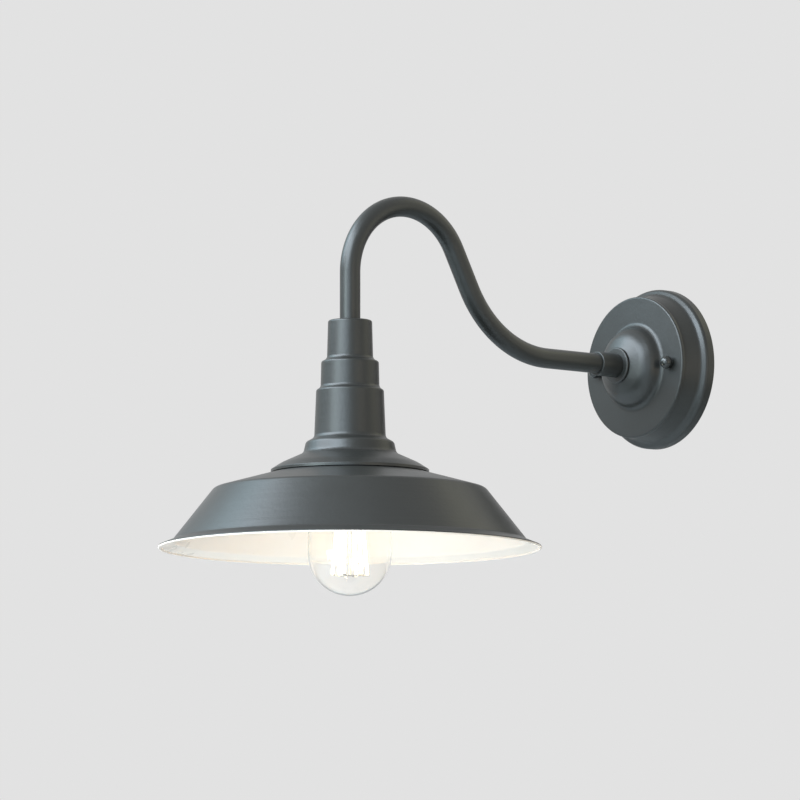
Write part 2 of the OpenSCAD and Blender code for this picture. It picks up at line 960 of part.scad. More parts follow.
module centre_contact() {
    color("gold")
        on_head(bore_ceiling - contact_t - slip_clear) {
            cylinder(h = contact_t, d = contact_d);
            cylinder(h = contact_t + slip_clear + contact_post_h, d = contact_post_d);
        }
}

// Ring screwed up the skirt against the underside of the crown, with a ribbed edge
module clamp_ring() {
    color("ivory")
        on_head(shade_h - shade_wall - clamp_ring_h)
            difference() {
                turned([
                    [holder_thread_d / 2 + thread_clear, 0, 0],
                    [clamp_collar_d / 2, 0, 0],
                    [clamp_collar_d / 2, clamp_ring_h - clamp_collar_h, 0],
                    [clamp_ring_d / 2, clamp_ring_h - clamp_collar_h, clamp_ring_r],
                    [clamp_ring_d / 2, clamp_ring_h, 0],
                    [holder_thread_d / 2 + thread_clear, clamp_ring_h, 0],
                    [holder_thread_d / 2 + thread_clear, 0, 0]
                ]);
                for (i = [0:clamp_groove_count - 1])
                    rotate([0, 0, i * 360 / clamp_groove_count])
                        translate([clamp_collar_d / 2, 0, -overrun])
                            cylinder(h = clamp_groove_l + overrun, d = clamp_groove_d);
            }
}

// Metal cap of the bulb, with rounded ribs for its thread
module bulb_cap() {
    core_r = cap_d / 2 - cap_groove_depth;
    color("silver")
        on_head(cap_foot) {
            spun_shell([
                [core_r, 0, 0],
                [core_r, cap_h - cap_taper_h, 0],
                [insulator_foot_d / 2, cap_h, 0]
            ], cap_wall);
            for (i = [0:cap_rib_count - 1])
                translate([0, 0, cap_rib_start + i * cap_rib_pitch])
                    rotate_extrude()
                        intersection() {
                            translate([core_r + cap_groove_depth - cap_rib_d / 2, 0])
                                circle(d = cap_rib_d);
                            translate([core_r - cap_wall, -cap_rib_d])
                                square([cap_rib_d, 2 * cap_rib_d]);
                        }
        }
}

module bulb_insulator() {
    color("black")
        on_head(cap_top)
            cylinder(h = insulator_h, d1 = insulator_foot_d - 2 * slip_clear, d2 = insulator_top_d);
}

module bulb_contact() {
    color("silver")
        on_head(cap_top + insulator_h)
            turned([
                [0, 0, 0],
                [tip_d / 2, 0, 0],
                [tip_d / 2, tip_h, tip_h / 2],
                [0, tip_h, 0]
            ]);
}

// Clear envelope: a neck that swells into a globe
module bulb_glass() {
    globe_r = globe_d / 2;
    cheek = cap_foot - glass_cheek_drop;
    waist = cap_foot - glass_waist_drop;
    neck_r = glass_neck_d / 2;
    turn = atan2(globe_r - neck_r, waist - cheek);
    cheek_r = (cheek - bulb_bottom - globe_r) / tan(turn / 2) * glass_cheek_share;
    color("white", 0.35)
        on_head(0)
            spun_shell([
                [neck_r, cap_foot + glass_neck_up, 0],
                [neck_r, waist, glass_waist_r],
                [globe_r, cheek, cheek_r],
                [globe_r, bulb_bottom, globe_r],
                [0, bulb_bottom, 0]
            ], -glass_wall);
}

// Glass stem that closes the neck and carries the filament frame
module bulb_stem() {
    flare_r = glass_neck_d / 2 - glass_wall - slip_clear;
    color("white", 0.35)
        on_head(0)
            turned([
                [0, cap_foot - stem_drop, 0],
                [stem_d / 2, cap_foot - stem_drop, stem_tip_r],
                [stem_d / 2, cap_foot, stem_flare_r],
                [flare_r, stem_foot, 0],
                [flare_r, stem_foot + stem_edge_h, 0],
                [0, stem_foot + stem_edge_h, 0]
            ]);
}

// Support rod with a spoke to each end of each filament
module filament_frame() {
    drop = filament_l + 2 * filament_gap + frame_wire_d;
    color("gray")
        on_head(filament_top - drop) {
            cylinder(h = cap_foot - stem_drop - filament_top + drop, d = frame_rod_d);
            for (i = [0:filament_count - 1])
                rotate([0, 0, i * 360 / filament_count]) {
                    rotate([0, 90, 0])
                        cylinder(h = filament_bottom_r, d = frame_wire_d);
                    translate([0, 0, drop])
                        rotate([0, 90, 0])
                            cylinder(h = filament_top_r, d = frame_wire_d);
                }
        }
}

module filaments() {
    lean = atan2(filament_bottom_r - filament_top_r, filament_l);
    color("gold")
        on_head(filament_top - frame_wire_d / 2 - filament_gap)
            for (i = [0:filament_count - 1])
                rotate([0, 0, i * 360 / filament_count])
                    translate([filament_top_r, 0, 0])
                        rotate([0, 180 - lean, 0])
                            cylinder(h = filament_l / cos(lean) - filament_gap, d = filament_d);
}

wall_bracket();
stud_screws();
stud_lock_nuts();
ground_screw();
earth_lug();
earth_wire();
wire_connectors();
canopy_pan();
canopy_face();
ball_nut_left();
ball_nut_right();
trim_washer();
arm_sleeve();
wall_nipple();
wall_lock_washer();
wall_lock_nut();
arm_tube();
tube_plugs();
live_wire();
neutral_wire();
head_nipple();
neck_cover();
neck_lock_washer();
neck_lock_nut();
shade();
lampholder_cap();
lampholder_body();
terminal_screws();
screw_shell();
centre_contact();
clamp_ring();
bulb_cap();
bulb_insulator();
bulb_contact();
bulb_glass();
bulb_stem();
filament_frame();
filaments();
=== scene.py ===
# %% [markdown]
# A gooseneck wall sconce, dressed for its photograph. The imported model gives every
# piece its place, so this lesson only has to care about looks: smooth spun and bent
# sheet metal, satin paint, warm enamel, clear glass and glowing filaments. The frame
# is loaded first, and each piece's place is written into its own mesh.

# %% Load the frame
import math

import bpy
import bmesh
from mathutils import Matrix, Vector


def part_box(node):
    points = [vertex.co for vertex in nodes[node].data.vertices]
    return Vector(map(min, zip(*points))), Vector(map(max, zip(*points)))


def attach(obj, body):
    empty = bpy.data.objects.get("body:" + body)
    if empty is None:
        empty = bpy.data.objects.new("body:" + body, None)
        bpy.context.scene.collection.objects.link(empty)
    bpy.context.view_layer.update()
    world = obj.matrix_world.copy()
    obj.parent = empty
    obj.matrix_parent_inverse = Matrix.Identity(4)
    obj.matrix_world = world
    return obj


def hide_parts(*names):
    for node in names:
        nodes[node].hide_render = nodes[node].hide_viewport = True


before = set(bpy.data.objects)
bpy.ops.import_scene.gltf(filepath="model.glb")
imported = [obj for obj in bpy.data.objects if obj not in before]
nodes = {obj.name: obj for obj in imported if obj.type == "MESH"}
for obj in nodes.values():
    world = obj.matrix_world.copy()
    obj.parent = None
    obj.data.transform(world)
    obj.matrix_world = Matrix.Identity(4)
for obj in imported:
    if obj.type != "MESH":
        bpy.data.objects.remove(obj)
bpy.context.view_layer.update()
scene = bpy.context.scene
scene.view_settings.view_transform = "Standard"
MM = 0.001

# %% [markdown]
# The camera stands well back with a long lens, because the photograph shows almost no
# perspective. It looks up a little, so the underside of the shade's rim is just seen,
# and it stands to the right of the lamp, which puts the wall plate on the right. The
# numbers come from a fit to the rings of the shade and the canopy.

# %% Camera
AZIMUTH = 0.8684
ELEVATION = -0.1134
ROLL = -0.0002
DISTANCE = 4500 * MM
SHIFT_RIGHT = -185.93 * MM
SHIFT_UP = -21.62 * MM
FORTH = 2.6 * MM
LIFT = 0.57 * MM
PIXELS_PER_MM = 1.412
IMAGE_W = 800
SENSOR_W = 36


def camera_axes():
    back = Vector((math.sin(AZIMUTH) * math.cos(ELEVATION),
                   -math.cos(AZIMUTH) * math.cos(ELEVATION), math.sin(ELEVATION)))
    right = Vector((math.cos(AZIMUTH), math.sin(AZIMUTH), 0))
    up = back.cross(right)
    turn = Matrix.Rotation(ROLL, 3, back)
    return turn @ right, turn @ up, back


right, up, back = camera_axes()
place = back * DISTANCE + right * SHIFT_RIGHT + up * SHIFT_UP + Vector((0, FORTH, LIFT))
lens_data = bpy.data.cameras.new("camera")
lens_data.sensor_width = SENSOR_W
lens_data.lens = PIXELS_PER_MM * DISTANCE / MM * SENSOR_W / IMAGE_W
camera = bpy.data.objects.new("camera", lens_data)
camera.matrix_world = Matrix.Translation(place) @ Matrix((right, up, back)).transposed().to_4x4()
scene.collection.objects.link(camera)
scene.camera = camera
print("camera:", [round(v, 3) for v in place], "lens", round(lens_data.lens, 1))

# %% [markdown]
# A modeller at the screen works on one object at a time, and so do these helpers.
# Everything is deselected before a new piece is added, and at the end its place is
# written into the mesh, so that each piece sits at the origin as the CAD nodes do.

# %% Helpers for selecting and finishing
def nothing_selected():
    bpy.ops.object.select_all(action="DESELECT")


def only(obj):
    nothing_selected()
    obj.select_set(True)
    bpy.context.view_layer.objects.active = obj


def settle(obj, angle=32):
    only(obj)
    bpy.ops.object.transform_apply(location=True, rotation=True, scale=True)
    bpy.ops.object.shade_smooth_by_angle(angle=math.radians(angle))


def apply_modifiers(obj):
    only(obj)
    for name in [m.name for m in obj.modifiers]:
        bpy.ops.object.modifier_apply(modifier=name)


def pick_verts(obj, test):
    mesh = bmesh.from_edit_mesh(obj.data)
    for v in mesh.verts:
        v.select = bool(test(v.co))
    mesh.select_flush_mode()
    bmesh.update_edit_mesh(obj.data)


# %% [markdown]
# Most pieces of this lamp are spun or turned, so they are all started the same way. A
# plane is merged to one point, the point is extruded along the outline, each corner
# is rounded with its own radius by a vertex bevel, and the chain is spun all round.
# Each point of an outline is a radius, a height and the corner's radius, in millimetres.

# %% Helper for spun pieces
TURNS = 160


def draw_outline(obj, outline):
    first = outline[0]
    bpy.ops.object.mode_set(mode="EDIT")
    bpy.ops.mesh.select_all(action="SELECT")
    bpy.ops.mesh.merge(type="CENTER")
    bpy.ops.transform.translate(value=(first[0], 0, first[1]))
    for a, b in zip(outline, outline[1:]):
        bpy.ops.mesh.extrude_vertices_move(
            TRANSFORM_OT_translate={"value": (b[0] - a[0], 0, b[1] - a[1])})


def round_corners(obj, outline, segments):
    for a, b, c in zip(outline, outline[1:], outline[2:]):
        if b[2] == 0:
            continue
        turn = Vector((b[0] - a[0], b[1] - a[1])).angle(Vector((c[0] - b[0], c[1] - b[1])))
        spot = Vector((b[0], 0, b[1]))
        pick_verts(obj, lambda co: (co - spot).length < 1e-6)
        bpy.ops.mesh.bevel(offset=b[2] * math.tan(turn / 2), segments=segments,
                           affect="VERTICES", offset_type="OFFSET", clamp_overlap=False)


def spin_outline(name, outline, coats, wall=0, segments=8, turns=TURNS):
    nothing_selected()
    bpy.ops.mesh.primitive_plane_add(size=MM)
    obj = bpy.context.object
    obj.name = obj.data.name = name
    for coat in coats:
        obj.data.materials.append(coat)
    points = [(r * MM, h * MM, bend * MM) for r, h, bend in outline]
    draw_outline(obj, points)
    round_corners(obj, points, segments)
    bpy.ops.mesh.select_all(action="SELECT")
    bpy.ops.mesh.spin(steps=turns, angle=2 * math.pi, center=(0, 0, 0), axis=(0, 0, 1))
    bpy.ops.mesh.select_all(action="SELECT")
    bpy.ops.mesh.remove_doubles(threshold=1e-6)
    bpy.ops.mesh.normals_make_consistent(inside=False)
    bpy.ops.object.mode_set(mode="OBJECT")
    if wall:
        shell = obj.modifiers.new("wall", "SOLIDIFY")
        shell.thickness = wall * MM
        shell.offset = -1
        shell.use_even_offset = True
        shell.material_offset = 1
        shell.material_offset_rim = 1
        apply_modifiers(obj)
    return obj


# %% [markdown]
# The head's pieces stand upright on the shade's axis, and the canopy's pieces face
# out of the wall. These two values and two helpers put a spun piece in its place.

# %% Helpers for placing
REACH = 285.4
RIM_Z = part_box("shade")[0].z / MM


def on_head(obj, height, angle=32):
    obj.location = (0, -REACH * MM, (RIM_Z + height) * MM)
    settle(obj, angle)
    return obj


def out_of_wall(obj, distance, x=0, angle=32):
    obj.location = (x * MM, -distance * MM, 0)
    obj.rotation_euler = (math.pi / 2, 0, 0)
    settle(obj, angle)
    return obj


print("rim of the shade at", round(RIM_Z, 2), "mm")

# %% [markdown]
# Arcs that are part of the form itself, such as a ball or the bulb's globe, are drawn
# as points on a circle. Rounded corners stay with the bevel above.

# %% Helper for arcs
def arc(centre_r, centre_h, radius, start, end, steps):
    return [(centre_r + radius * math.cos(math.radians(start + (end - start) * i / steps)),
             centre_h + radius * math.sin(math.radians(start + (end - start) * i / steps)), 0)
            for i in range(steps + 1)]


# %% [markdown]
# Three shader groups are used by more than one finish. The first gives the low, soft
# orange peel of sprayed paint. The second gives the fine rings that a spinning tool
# leaves in sheet metal, which shimmer under the paint. The third gives slow patches,
# which change a colour or a shine a little from place to place.

# %% Helpers for shader groups
def new_group(name, inputs, outputs):
    group = bpy.data.node_groups.new(name, "ShaderNodeTree")
    for label, value in inputs:
        socket = group.interface.new_socket(
            name=label, in_out="INPUT", socket_type="NodeSocketFloat")
        socket.default_value = value
    for label in outputs:
        group.interface.new_socket(name=label, in_out="OUTPUT", socket_type="NodeSocketFloat")
    take = group.nodes.new("NodeGroupInput")
    give = group.nodes.new("NodeGroupOutput")
    return group, take, give


def noise(tree, vector, scale, detail=2.0, roughness=0.5):
    node = tree.nodes.new("ShaderNodeTexNoise")
    node.inputs["Detail"].default_value = detail
    node.inputs["Roughness"].default_value = roughness
    if hasattr(scale, "is_linked"):
        tree.links.new(scale, node.inputs["Scale"])
    else:
        node.inputs["Scale"].default_value = scale
    tree.links.new(vector, node.inputs["Vector"])
    return node.outputs["Fac"]


def sums(tree, operation, a, b):
    node = tree.nodes.new("ShaderNodeMath")
    node.operation = operation
    for socket, value in zip(node.inputs, (a, b)):
        if hasattr(value, "is_linked"):
            tree.links.new(value, socket)
        else:
            socket.default_value = value
    return node.outputs[0]


def spread(tree, value, low, high, to_low, to_high):
    node = tree.nodes.new("ShaderNodeMapRange")
    tree.links.new(value, node.inputs["Value"])
    for label, number in (("From Min", low), ("From Max", high),
                          ("To Min", to_low), ("To Max", to_high)):
        if hasattr(number, "is_linked"):
            tree.links.new(number, node.inputs[label])
        else:
            node.inputs[label].default_value = number
    return node.outputs["Result"]


# %% Orange peel
peel, take, give = new_group("orange_peel", [("Size", 420.0), ("Depth", 1.0)], ["Height"])
spot = peel.nodes.new("ShaderNodeTexCoord").outputs["Object"]
coarse = noise(peel, spot, take.outputs["Size"], 1.0)
fine = noise(peel, spot, sums(peel, "MULTIPLY", take.outputs["Size"], 4.5), 2.0)
mixed = sums(peel, "ADD", coarse, sums(peel, "MULTIPLY", fine, 0.35))
peel.links.new(sums(peel, "MULTIPLY", mixed, take.outputs["Depth"]), give.inputs["Height"])
print("group:", peel.name)

# %% Spinning rings
rings, take, give = new_group(
    "spinning_rings", [("Across", 0.0), ("Along", 1.0), ("Depth", 1.0)], ["Height"])
spot = rings.nodes.new("ShaderNodeTexCoord").outputs["Object"]
parts = rings.nodes.new("ShaderNodeSeparateXYZ")
rings.links.new(spot, parts.inputs[0])
height_run = sums(rings, "MULTIPLY", parts.outputs["Z"], take.outputs["Along"])
depth_run = sums(rings, "MULTIPLY", parts.outputs["Y"], take.outputs["Across"])
join = rings.nodes.new("ShaderNodeCombineXYZ")
rings.links.new(sums(rings, "ADD", height_run, depth_run), join.inputs["X"])
wide = noise(rings, join.outputs[0], 260.0, 1.0)
thin = noise(rings, join.outputs[0], 1500.0, 2.0)
both = sums(rings, "ADD", wide, sums(rings, "MULTIPLY", thin, 0.4))
rings.links.new(sums(rings, "MULTIPLY", both, take.outputs["Depth"]), give.inputs["Height"])
print("group:", rings.name)

# %% Slow patches
patches, take, give = new_group(
    "slow_patches", [("Size", 18.0), ("Low", 0.0), ("High", 1.0)], ["Value"])
spot = patches.nodes.new("ShaderNodeTexCoord").outputs["Object"]
cloud = noise(patches, spot, take.outputs["Size"], 3.0, 0.6)
cloud = spread(patches, cloud, 0.3, 0.7, take.outputs["Low"], take.outputs["High"])
patches.links.new(cloud, give.inputs["Value"])
print("group:", patches.name)

# %% [markdown]
# Each finish is one Principled shader. Its plain values are set on its own sockets,
# and the groups feed only colour, roughness and the bump. This helper makes the
# material, and the next ones place a group in it and mix two colours by a mask.

# %% Helpers for finishes
def new_finish(name, **plain):
    mat = bpy.data.materials.new(name)
    mat.use_nodes = True
    shader = mat.node_tree.nodes["Principled BSDF"]
    for label, value in plain.items():
        shader.inputs[label.replace("_", " ")].default_value = value
    return mat, mat.node_tree, shader


def use_group(tree, group, **values):
    node = tree.nodes.new("ShaderNodeGroup")
    node.node_tree = group
    for label, value in values.items():
        node.inputs[label].default_value = value
    return node.outputs[0]


def two_tones(tree, mask, first, second):
    node = tree.nodes.new("ShaderNodeMix")
    node.data_type = "RGBA"
    node.inputs["A"].default_value = (*first, 1)
    node.inputs["B"].default_value = (*second, 1)
    tree.links.new(mask, node.inputs["Factor"])
    return node.outputs["Result"]


def bump(tree, shader, height, strength, distance):
    node = tree.nodes.new("ShaderNodeBump")
    node.inputs["Strength"].default_value = strength
    node.inputs["Distance"].default_value = distance
    tree.links.new(height, node.inputs["Height"])
    tree.links.new(node.outputs["Normal"], shader.inputs["Normal"])


# %% [markdown]
# The outside of the lamp has a satin powder coat, nearly black with a green-grey cast.
# It is not one flat grey: the coat is a little thicker in places, its shine changes
# slowly, and it has a low orange peel. On spun pieces the tool's rings show through.
# The two ball nuts are handled more and came out glossier, so they get a smoother coat.

# %% Satin paint
def satin_paint(name, across, along, ring_depth, smooth=0.34, rough=0.41):
    mat, tree, shader = new_finish(name, Metallic=0.0, IOR=1.5, Specular_IOR_Level=0.5)
    tone = two_tones(tree, use_group(tree, patches, Size=9.0, Low=0.0, High=1.0),
                     (0.011, 0.0115, 0.0105), (0.016, 0.0165, 0.015))
    tree.links.new(tone, shader.inputs["Base Color"])
    tree.links.new(use_group(tree, patches, Size=26.0, Low=smooth, High=rough),
                   shader.inputs["Roughness"])
    skin = use_group(tree, peel, Size=430.0, Depth=1.0)
    lines = use_group(tree, rings, Across=across, Along=along, Depth=ring_depth)
    bump(tree, shader, sums(tree, "ADD", skin, lines), 0.12, 0.0004)
    return mat


paint_head = satin_paint("satin_paint_head", 0.0, 1.0, 1.6)
paint_canopy = satin_paint("satin_paint_canopy", 1.0, 0.0, 0.9)
paint_arm = satin_paint("satin_paint_arm", 0.0, 0.0, 0.0)
paint_nut = satin_paint("satin_paint_nut", 0.0, 0.0, 0.0, 0.17, 0.23)
print("paints:", paint_head.name, paint_canopy.name, paint_arm.name, paint_nut.name)

# %% [markdown]
# The inside of the shade is warm white enamel, glossier than the paint, so that it
# throws the light down. A faint unevenness in colour and gloss keeps it from looking
# like plastic.

# %% Warm white enamel
enamel, tree, shader = new_finish("warm_enamel", Metallic=0.0, IOR=1.5, Coat_Weight=0.3,
                                  Coat_Roughness=0.12)
tone = two_tones(tree, use_group(tree, patches, Size=14.0, Low=0.0, High=1.0),
                 (0.94, 0.80, 0.69), (0.95, 0.815, 0.71))
tree.links.new(tone, shader.inputs["Base Color"])
tree.links.new(use_group(tree, patches, Size=30.0, Low=0.27, High=0.32),
               shader.inputs["Roughness"])
bump(tree, shader, use_group(tree, peel, Size=300.0, Depth=1.0), 0.06, 0.0004)
print("finish:", enamel.name)

# %% [markdown]
# The bracket, screws and nuts are zinc-plated steel, the contacts are brass, and the
# bulb has a bright cap and grey wires. A plain Metallic shader does for all of them,
# because what tells them apart is colour, shine and the size of their mottling.

# %% Bare metals
def bare_metal(name, dark, light, rough_low, rough_high, grain_size):
    mat, tree, shader = new_finish(name, Metallic=1.0)
    tone = two_tones(tree, use_group(tree, patches, Size=90.0, Low=0.0, High=1.0), dark, light)
    tree.links.new(tone, shader.inputs["Base Color"])
    tree.links.new(use_group(tree, patches, Size=220.0, Low=rough_low, High=rough_high),
                   shader.inputs["Roughness"])
    bump(tree, shader, use_group(tree, peel, Size=grain_size, Depth=1.0), 0.15, 0.0002)
    return mat


zinc = bare_metal("zinc_steel", (0.42, 0.43, 0.45), (0.62, 0.63, 0.64),
                  0.28, 0.48, 1200.0)
brass = bare_metal("plain_brass", (0.60, 0.42, 0.17), (0.78, 0.58, 0.28), 0.2, 0.4, 1500.0)
cap_metal = bare_metal("cap_metal", (0.66, 0.66, 0.67), (0.8, 0.8, 0.8), 0.16, 0.3, 900.0)
frame_metal = bare_metal("frame_wire", (0.36, 0.36, 0.37), (0.55, 0.55, 0.55),
                         0.2, 0.35, 2000.0)
print("metals:", zinc.name, brass.name, cap_metal.name, frame_metal.name)

# %% [markdown]
# What isn't metal, paint or glass has a coat of its own: glazed porcelain for the
# lampholder, soft plastic round the wires and in the twist-on caps, green lacquer on the
# earth screw and black glass under the bulb's cap. They differ in two tones, a range of
# roughness and how deep their grain is, so one helper makes them all.

# %% Porcelain, plastics and the green screw
def plain_coat(name, first, second, rough_low, rough_high, grain_size, strength, **plain):
    mat, tree, shader = new_finish(name, Metallic=0.0, **plain)
    tone = two_tones(tree, use_group(tree, patches, Size=160.0, Low=0.0, High=1.0), first, second)
    tree.links.new(tone, shader.inputs["Base Color"])
    tree.links.new(use_group(tree, patches, Size=240.0, Low=rough_low, High=rough_high),
                   shader.inputs["Roughness"])
    bump(tree, shader, use_group(tree, peel, Size=grain_size, Depth=1.0), strength, 0.0002)
    return mat


porcelain = plain_coat("white_porcelain", (0.78, 0.76, 0.70), (0.86, 0.84, 0.79),
                       0.08, 0.16, 380.0, 0.1, Coat_Weight=0.5, Coat_Roughness=0.05)
black_cover = plain_coat("black_wire", (0.012, 0.012, 0.012), (0.022, 0.022, 0.022),
                         0.4, 0.5, 900.0, 0.2)
white_cover = plain_coat("white_wire", (0.70, 0.69, 0.65), (0.8, 0.79, 0.76),
                         0.38, 0.5, 900.0, 0.2)
green_cover = plain_coat("green_wire", (0.02, 0.2, 0.05), (0.035, 0.27, 0.08),
                         0.38, 0.5, 900.0, 0.2)
twist_cap = plain_coat("connector_plastic", (0.68, 0.22, 0.02), (0.78, 0.28, 0.03),
                       0.34, 0.46, 700.0, 0.3)
green_screw = plain_coat("green_screw", (0.015, 0.16, 0.05), (0.03, 0.24, 0.08),
                         0.28, 0.42, 900.0, 0.25)
black_glass = plain_coat("cap_insulator", (0.008, 0.008, 0.009), (0.016, 0.016, 0.017),
                         0.1, 0.2, 700.0, 0.1)
print("coats:", porcelain.name, twist_cap.name, green_screw.name)

# %% [markdown]
# The bulb is clear blown glass, so its skin is never quite even: a very low, slow bump
# bends what is seen through it. Lit glass is never quite dark, so a trace of warm
# emission stands for the light that scatters in it. The filaments are thin strips in a
# pale coating, which glow warm white when lit.

# %% Glass and filament
glass, tree, shader = new_finish("clear_glass", Metallic=0.0, Transmission_Weight=1.0, IOR=1.45,
                                 Emission_Color=(1.0, 0.93, 0.82, 1), Emission_Strength=0.018)
tone = two_tones(tree, use_group(tree, patches, Size=20.0, Low=0.0, High=1.0),
                 (0.985, 0.975, 0.95), (1.0, 0.995, 0.98))
tree.links.new(tone, shader.inputs["Base Color"])
tree.links.new(use_group(tree, patches, Size=40.0, Low=0.0, High=0.02),
               shader.inputs["Roughness"])
bump(tree, shader, use_group(tree, patches, Size=24.0, Low=0.0, High=1.0), 0.05, 0.0006)

glow, tree, shader = new_finish("filament_glow", Metallic=0.0, Roughness=0.6,
                                Emission_Strength=22.5)
tone = two_tones(tree, use_group(tree, patches, Size=300.0, Low=0.0, High=1.0),
                 (1.0, 0.72, 0.38), (1.0, 0.84, 0.56))
tree.links.new(tone, shader.inputs["Base Color"])
tree.links.new(tone, shader.inputs["Emission Color"])
print("bulb finishes:", glass.name, glow.name)

# %% [markdown]
# A finished piece rides on its body and stands for its CAD node, which is hidden
# and stays behind for the simulation.

# %% Helper that hands a piece over
def stands_for(obj, node, body="lamp"):
    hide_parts(node)
    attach(obj, body)
    print(node + ":", len(obj.data.polygons), "faces")


# %% [markdown]
# The canopy is two pressings. The pan lies on the wall with a rolled flange and a
# coved side, and the face closes it with a lid that is drawn up into a dome. Both are
# one outline each, spun and given the thickness of the sheet.

# %% Canopy
CANOPY_SHEET = 1.2
FACE_LEVEL = 24.6
DOME_TOP = 40.4
NIPPLE_HOLE_R = 5.2
pan = spin_outline("canopy_pan_shell", [
    (56.5, 0, 0), (56.5, 6.6, 3), (52.3, 9.2, 3), (48.3, 23.4, 2), (33, 23.4, 0)],
    [paint_canopy, paint_canopy], wall=CANOPY_SHEET)
stands_for(out_of_wall(pan, 0), "canopy_pan")
face = spin_outline("canopy_face_shell", [
    (50, 22, 0), (50, FACE_LEVEL, 1.3), (29, FACE_LEVEL, 4), (26.6, 31.5, 9), (21.5, 36.8, 14),
    (12.3, DOME_TOP, 2.4), (NIPPLE_HOLE_R, DOME_TOP, 0)],
    [paint_canopy, paint_canopy], wall=CANOPY_SHEET)
stands_for(out_of_wall(face, 0), "canopy_face")

# %% [markdown]
# A round washer sits on the dome, and a short sleeve hides where the arm's tube starts.
# Both are rings, so their outlines come back to the point that they started from, and
# the spun skin needs no wall of its own.

# %% Washer and sleeve
WASHER_H = 2.2
SLEEVE_START = DOME_TOP + WASHER_H
SLEEVE_L = 18
SLEEVE_BORE_R = 7.05
washer = spin_outline("trim_washer_ring", [
    (NIPPLE_HOLE_R, 0, 0), (12.7, 0, 1), (12.7, WASHER_H, 1), (NIPPLE_HOLE_R, WASHER_H, 0),
    (NIPPLE_HOLE_R, 0, 0)], [paint_canopy], turns=96)
stands_for(out_of_wall(washer, DOME_TOP), "trim_washer")
sleeve = spin_outline("arm_sleeve_tube", [
    (SLEEVE_BORE_R, 0, 0), (8.5, 0, 0), (8.5, SLEEVE_L, 0.7), (SLEEVE_BORE_R, SLEEVE_L, 0),
    (SLEEVE_BORE_R, 0, 0)], [paint_canopy], turns=96)
stands_for(out_of_wall(sleeve, SLEEVE_START), "arm_sleeve")

# %% [markdown]
# Each ball nut is a small turned cap: a short foot, a round head, and a blind thread
# hole underneath. A UV sphere would do for the head, but a spun outline keeps foot,
# head and hole in one skin.

# %% Ball nuts
STUD_X = 37.5
NUT_GAP = 0.1


def ball_nut(name, x):
    outline = [(0, 6.32, 0), (2.05, 6.32, 0), (2.05, 0, 0), (3.9, 0, 0), (3.9, 0.6, 0)]
    ball = arc(0, 3.22, 4.7, -33.9, 90, 24)
    nut = spin_outline(name, outline + ball[1:], [paint_nut], turns=64)
    return out_of_wall(nut, FACE_LEVEL + NUT_GAP, x)


stands_for(ball_nut("left_ball_nut", -STUD_X), "ball_nut_left", "left_nut")
stands_for(ball_nut("right_ball_nut", STUD_X), "ball_nut_right", "right_nut")

# %% [markdown]
# The arm is a bent tube. A circle of the tube's size is set on end at the sleeve,
# extruded along the level straight, spun round the centre of the first bend, extruded
# up the climb, spun over the top and extruded down the leg, as a tube bender works.

# %% Arm tube
TUBE_R = 7
TUBE_WALL = 1
ROOT_R = 81
TOP_R = 49.5
CLIMB = math.radians(61.7)
ARM_RISE = 94.6
climb_l = (ARM_RISE - (ROOT_R + TOP_R) * (1 - math.cos(CLIMB))) / math.sin(CLIMB)
root_run = REACH - TOP_R - (ROOT_R + TOP_R) * math.sin(CLIMB) - climb_l * math.cos(CLIMB)
leg_top = ARM_RISE - TOP_R
NECK_TOP = 12.1


def push(y, z):
    bpy.ops.mesh.extrude_region_move(TRANSFORM_OT_translate={"value": (0, y * MM, z * MM)})


def bend(steps, angle, y, z):
    bpy.ops.mesh.spin(steps=steps, angle=angle, center=(0, y * MM, z * MM), axis=(1, 0, 0))


nothing_selected()
bpy.ops.mesh.primitive_circle_add(vertices=48, radius=TUBE_R * MM,
                                  rotation=(math.pi / 2, 0, 0))
arm = bpy.context.object
arm.name = arm.data.name = "arm_bent_tube"
arm.data.materials.append(paint_arm)
bpy.ops.object.transform_apply(location=True, rotation=True, scale=True)
bpy.ops.object.mode_set(mode="EDIT")
bpy.ops.mesh.select_all(action="SELECT")
bpy.ops.transform.translate(value=(0, -SLEEVE_START * MM, 0))
for step in range(4):
    push(-(root_run - SLEEVE_START) / 4, 0)
bend(24, CLIMB, -root_run, ROOT_R)
for step in range(2):
    push(-climb_l * math.cos(CLIMB) / 2, climb_l * math.sin(CLIMB) / 2)
bend(60, -math.pi / 2 - CLIMB, -(REACH - TOP_R), leg_top)
for step in range(2):
    push(0, -(leg_top - NECK_TOP) / 2)
bpy.ops.mesh.select_all(action="SELECT")
bpy.ops.mesh.remove_doubles(threshold=1e-6)
bpy.ops.mesh.normals_make_consistent(inside=False)
bpy.ops.object.mode_set(mode="OBJECT")
skin = arm.modifiers.new("wall", "SOLIDIFY")
skin.thickness = TUBE_WALL * MM
skin.offset = -1
apply_modifiers(arm)
settle(arm)
stands_for(arm, "arm_tube")

# %% [markdown]
# The neck cover is spun from one disc: a wide flare over the shade, a ring, and three
# tapering tiers. Each tier ends in a soft edge and steps in through a small cove.

# %% Neck cover
NECK_H = 104
FLARE_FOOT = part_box("neck_cover")[0].z / MM - RIM_Z
neck = spin_outline("neck_cover_shell", [
    (53.7, 0, 0), (53.7, 1.9, 0.4), (46.8, 6.3, 22), (31.7, 13.1, 4), (30, 20.6, 2.6),
    (24.3, 23.7, 3.6), (23, 56.1, 1.5), (20, 58.1, 3.2), (19.6, 75.6, 1.5), (15.7, 77.6, 3.2),
    (15, NECK_H, 1.5), (NIPPLE_HOLE_R, NECK_H, 0)], [paint_head, paint_head], wall=1)
stands_for(on_head(neck, FLARE_FOOT), "neck_cover")

